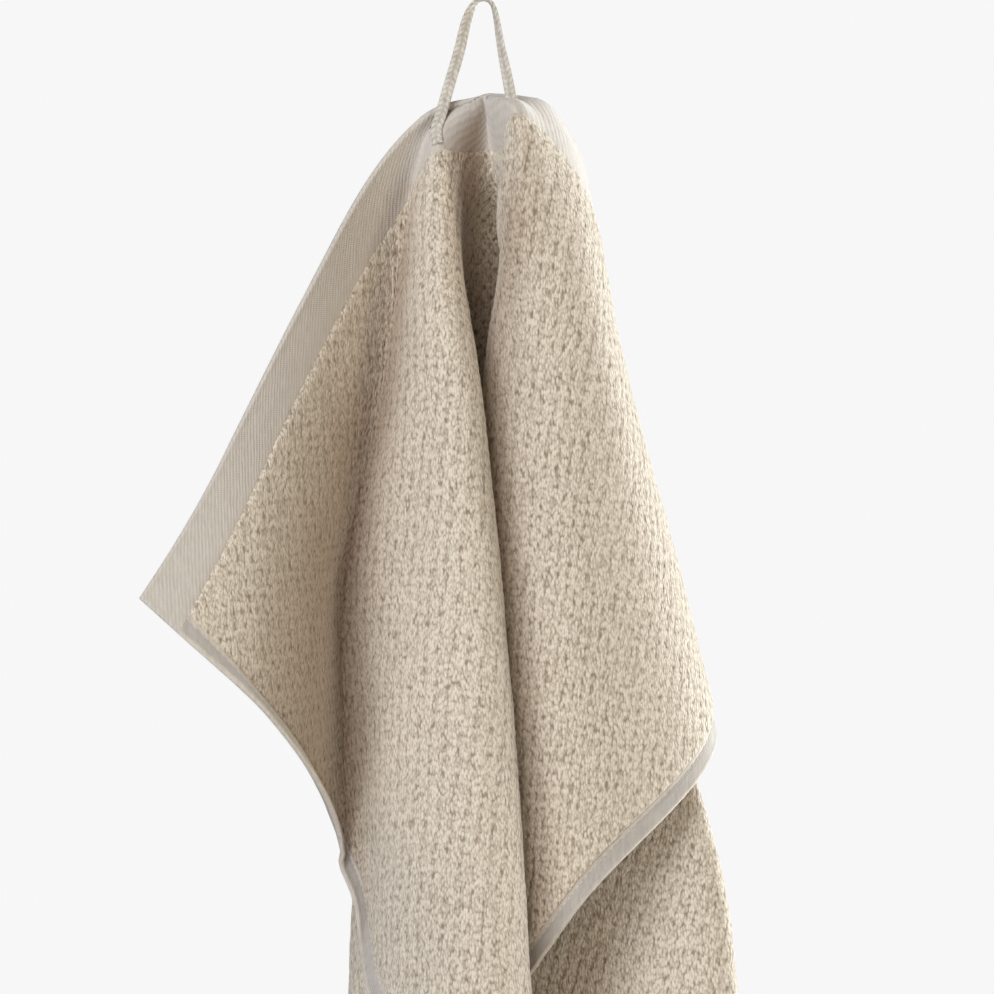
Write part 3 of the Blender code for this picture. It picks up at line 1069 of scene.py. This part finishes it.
    def build_stitches(self, face: Face) -> bpy.types.Object:
        """Build the lockstitches that show on one face.

        Args:
            face: the side on which they lie.

        Returns:
            One object with all of them.
        """
        around, along = 6, 4
        turn = np.linspace(0, math.tau, around, endpoint=False)
        bend = np.linspace(0.0, 1.0, along + 1)
        points, faces, count = [], [], 0
        for starts, way in self._seams():
            ends = starts + way * self.stitch
            for start, end in zip(starts, ends):
                line = start[None] + (end - start)[None] * bend[:, None]
                across, down = line[:, 0], line[:, 1]
                arch = np.sin(np.pi * bend)
                lift = self._ground_half(across, down) - 0.22 + 0.34 * arch
                middle = self.drape.skin(across, down, lift * face.value)
                out = self.drape.normal(across, down) * face.value
                side = unit(np.cross(np.gradient(middle, axis=0), out))
                thick = self.thread / 2 * (0.55 + 0.45 * arch)
                rings = middle[:, None] + thick[:, None, None] * (
                    side[:, None] * np.cos(turn)[None, :, None] + out[:, None] * np.sin(turn)[None, :, None])
                points.append(rings.reshape(-1, 3))
                for ring in range(along):
                    low = count + ring * around + np.arange(around)
                    high = count + ring * around + (np.arange(around) + 1) % around
                    faces.append(np.stack([low, high, high + around, low + around], axis=1))
                count += (along + 1) * around
        name = f"hem_stitches_{face.name.lower()}"
        stitches = Mesher.add(name, np.concatenate(points), np.concatenate(faces))
        stitches.data.materials.append(ThreadFinish().make())
        return stitches


@dataclass
class TapeLoop:
    """The woven tape loop that holds the towel up.

    Attributes:
        width: width of the tape, in millimetres.
        thick: its thickness.
        steps: rings along it.
        around: points of one ring.
        chevron: length of one chevron of its weave.
    """

    width: float = 4.3
    thick: float = 1.2
    steps: int = 300
    around: int = 32
    chevron: float = 2.1

    def _route(self) -> tuple[np.ndarray, np.ndarray, np.ndarray, np.ndarray]:
        """Return travelled length, centre line, width direction and face direction along the tape."""
        centres = np.array([row[1:4] for row in LOOP_ROUTE])
        turns = np.radians([row[4] for row in LOOP_ROUTE])
        tangents = np.gradient(centres, axis=0)
        inward = unit(np.stack([tangents[:, 2], np.zeros(len(tangents)), -tangents[:, 0]], axis=1))
        widths = inward * np.cos(turns)[:, None] + np.array([0.0, 1.0, 0.0]) * np.sin(turns)[:, None]
        travelled = np.concatenate([[0.0], np.cumsum(np.linalg.norm(np.diff(centres, axis=0), axis=1))])
        places = np.linspace(0.0, travelled[-1], self.steps + 1)
        line = natural_spline(travelled, centres, places)
        side = natural_spline(travelled, widths, places)
        tangent = unit(np.gradient(line, axis=0))
        side = unit(side - tangent * (side * tangent).sum(axis=1)[:, None])
        return places, line, side, np.cross(tangent, side)

    def build(self) -> bpy.types.Object:
        """Build the tape with its chevrons as relief."""
        places, line, side, face = self._route()
        turn = np.linspace(0.0, math.tau, self.around, endpoint=False)
        across = np.sign(np.cos(turn)) * np.abs(np.cos(turn)) ** 0.55
        out = np.sign(np.sin(turn)) * np.abs(np.sin(turn)) ** 0.75
        phase = places[:, None] / self.chevron + 0.9 * np.abs(across)[None]
        weave = 0.5 + 0.5 * np.cos(math.tau * phase)
        groove = np.exp(-(across / 0.16) ** 2)[None]
        relief = 0.16 * weave * (1 - groove) - 0.10 * groove
        flat_part = np.abs(out)[None] ** 0.5
        half_thick = self.thick / 2 - 0.10 + relief * flat_part
        half_wide = self.width / 2 - 0.06 + 0.10 * weave * (1 - flat_part)
        rings = (line[:, None] + side[:, None] * (across[None] * half_wide)[..., None]
                 + face[:, None] * (out[None] * half_thick)[..., None])
        points = rings.reshape(-1, 3)
        low = (np.arange(self.steps)[:, None] * self.around + np.arange(self.around)[None]).ravel()
        high = (np.arange(self.steps)[:, None] * self.around
                + ((np.arange(self.around) + 1) % self.around)[None]).ravel()
        faces = np.stack([low, high, high + self.around, low + self.around], axis=1)
        tape = Mesher.add("tape_loop", points, faces)
        self._close_ends(tape)
        Mesher.point_values(tape, "weave_height", (weave * (1 - groove)).ravel())
        tape.data.materials.append(TapeFinish().make())
        return tape

    def _close_ends(self, tape: bpy.types.Object) -> None:
        """Close both cut ends of the tape and turn all faces outwards."""
        bpy.ops.object.select_all(action="DESELECT")
        bpy.context.view_layer.objects.active = tape
        tape.select_set(True)
        bpy.ops.object.mode_set(mode="EDIT")
        bpy.ops.mesh.select_all(action="DESELECT")
        bpy.ops.mesh.select_non_manifold(extend=False)
        bpy.ops.mesh.edge_face_add()
        bpy.ops.mesh.select_all(action="SELECT")
        bpy.ops.mesh.normals_make_consistent(inside=False)
        bpy.ops.object.mode_set(mode="OBJECT")
        tape.select_set(False)


@dataclass
class Studio:
    """Camera, lights, surroundings and floor.

    Attributes:
        pixel: metres that one pixel of the picture covers at the cloth.
        pixels: side of the square picture in pixels.
        loop_pixel: where the loop's top lies in the picture, from its left and top.
        distance: from the camera to the cloth, in metres.
        aim: the point at which the lights look.
        reach: from there to each light, in metres.
        floor_drop: height of the floor, in metres.
        glow: strength of the light that the surroundings give.
        backdrop: how pale they look to the camera.
    """

    pixel: float = 0.00037
    pixels: int = 994
    loop_pixel: tuple[float, float] = (484.0, 1.0)
    distance: float = 10.0
    aim: Colour = (0.03, 0.0, -0.25)
    reach: float = 2.2
    floor_drop: float = -1.0
    glow: float = 0.03
    backdrop: float = 0.931

    def add_camera(self) -> None:
        """Add the long-lens camera that looks at the cloth from the front."""
        data = bpy.data.cameras.new("camera")
        data.sensor_width = 36.0
        data.lens = data.sensor_width * self.distance / (self.pixels * self.pixel)
        data.clip_start = 0.05
        data.clip_end = 60.0
        camera = bpy.data.objects.new("camera", data)
        right = (self.pixels / 2 - self.loop_pixel[0]) * self.pixel
        up = (self.loop_pixel[1] - self.pixels / 2) * self.pixel
        camera.location = (right, -self.distance, up)
        camera.rotation_euler = (math.pi / 2, 0.0, 0.0)
        bpy.context.scene.collection.objects.link(camera)
        bpy.context.scene.camera = camera

    def add_light(self, name: str, azimuth: float, height: float, size: float, power: float,
                  colour: Colour) -> None:
        """Add one soft square light that looks at the towel.

        Args:
            name: its name.
            azimuth: its direction in degrees, from the camera's to the right.
            height: its height over the towel's middle, in degrees.
            size: its side, in metres.
            power: its power in watts.
            colour: its colour.
        """
        data = bpy.data.lights.new(name, "AREA")
        data.size = size
        data.energy = power
        data.color = colour
        light = bpy.data.objects.new(name, data)
        turn, lift = math.radians(azimuth), math.radians(height)
        way = Vector((math.sin(turn) * math.cos(lift), -math.cos(turn) * math.cos(lift), math.sin(lift)))
        light.location = Vector(self.aim) + way * self.reach
        light.rotation_euler = way.to_track_quat("Z", "Y").to_euler()
        bpy.context.scene.collection.objects.link(light)

    def light(self) -> None:
        """Add the soft lights and the pale surroundings."""
        for row in LIGHTS:
            self.add_light(*row)
        world = bpy.data.worlds.new("surroundings")
        world.use_nodes = True
        tree = world.node_tree
        lit = tree.nodes["Background"]
        lit.inputs["Color"].default_value = (1.0, 0.99, 0.975, 1.0)
        lit.inputs["Strength"].default_value = self.glow
        seen = tree.nodes.new("ShaderNodeBackground")
        seen.inputs["Color"].default_value = (*[self.backdrop] * 3, 1.0)
        path = tree.nodes.new("ShaderNodeLightPath")
        either = tree.nodes.new("ShaderNodeMixShader")
        tree.links.new(path.outputs["Is Camera Ray"], either.inputs[0])
        tree.links.new(lit.outputs[0], either.inputs[1])
        tree.links.new(seen.outputs[0], either.inputs[2])
        tree.links.new(either.outputs[0], tree.nodes["World Output"].inputs[0])
        bpy.context.scene.world = world
        bpy.context.scene.view_settings.view_transform = "Standard"

    def add_floor(self) -> bpy.types.Object:
        """Add the pale round floor, whose finish fades out at its rim."""
        bpy.ops.object.select_all(action="DESELECT")
        bpy.ops.mesh.primitive_circle_add(
            vertices=96, radius=2.4, fill_type="NGON", location=(0.0, 0.0, self.floor_drop))
        floor = bpy.context.object
        floor.name = "floor"
        bpy.ops.object.transform_apply(location=True)
        floor.data.materials.append(FloorFinish().make())
        floor.select_set(False)
        return floor


def ride_all(pieces: Sequence[bpy.types.Object], node: str) -> None:
    """Fix pieces to the part in the place of a solid, with its finish.

    Args:
        pieces: the pieces.
        node: the solid that they stand for.
    """
    for piece in pieces:
        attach(piece, BODY)
        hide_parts(node)
        LOG.info("%s: %d points, %d faces", piece.name, len(piece.data.vertices), len(piece.data.polygons))


def main() -> None:
    """Build the studio, the tape loop and the towel, and say what each is."""
    logging.basicConfig(level=logging.INFO, format="%(name)s: %(message)s")
    studio = Studio()
    studio.add_camera()
    studio.light()
    studio.add_floor()

    tape = TapeLoop().build()
    ride_all([tape], "hanging_loop")

    cut = ClothCut()
    towel = Towel(cut, Drape(cut))
    ground = towel.build_ground()
    pile = towel.build_pile(Face.FRONT) + towel.build_pile(Face.BACK)
    stitches = [towel.build_stitches(Face.FRONT), towel.build_stitches(Face.BACK)]
    ride_all([ground, *pile, *stitches], "hand_towel")


if __name__ == "__main__":
    main()
